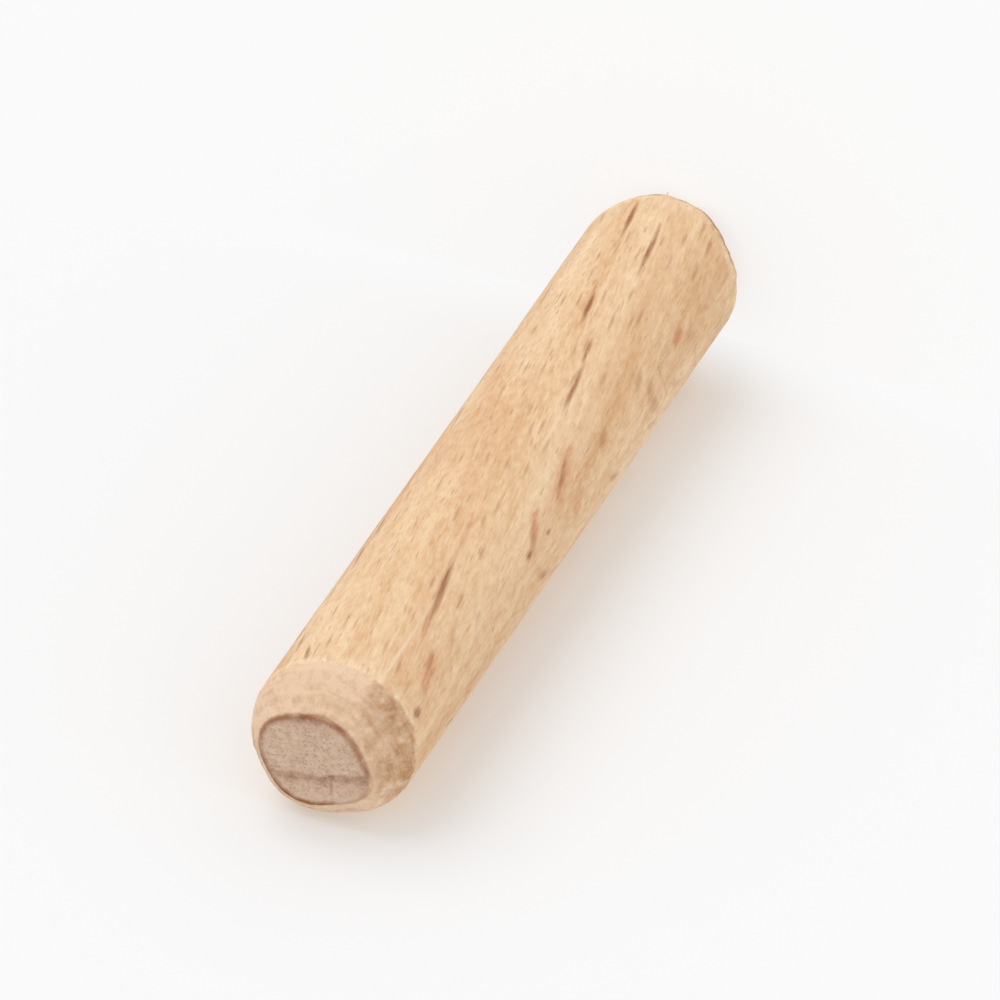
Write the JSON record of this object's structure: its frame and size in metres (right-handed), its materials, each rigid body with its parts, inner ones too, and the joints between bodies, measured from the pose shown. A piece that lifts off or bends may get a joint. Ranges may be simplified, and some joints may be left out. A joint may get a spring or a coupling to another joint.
{
  "type": "dowel pin",
  "caption": "Smooth round beech dowel pin with conical chamfers at both ends, each cut a little off centre.",
  "frame": {"origin": "middle of the lower end face, on which the pin stands", "axes": "+Z along the pin, from the end turned away in the picture to the end whose face shows"},
  "size_m": [0.008, 0.008, 0.04],
  "materials": {
    "beech": "sanded bare beech"
  },
  "bodies": {
    "root": {"dowel_pin": "beech"}
  },
  "joints": []
}
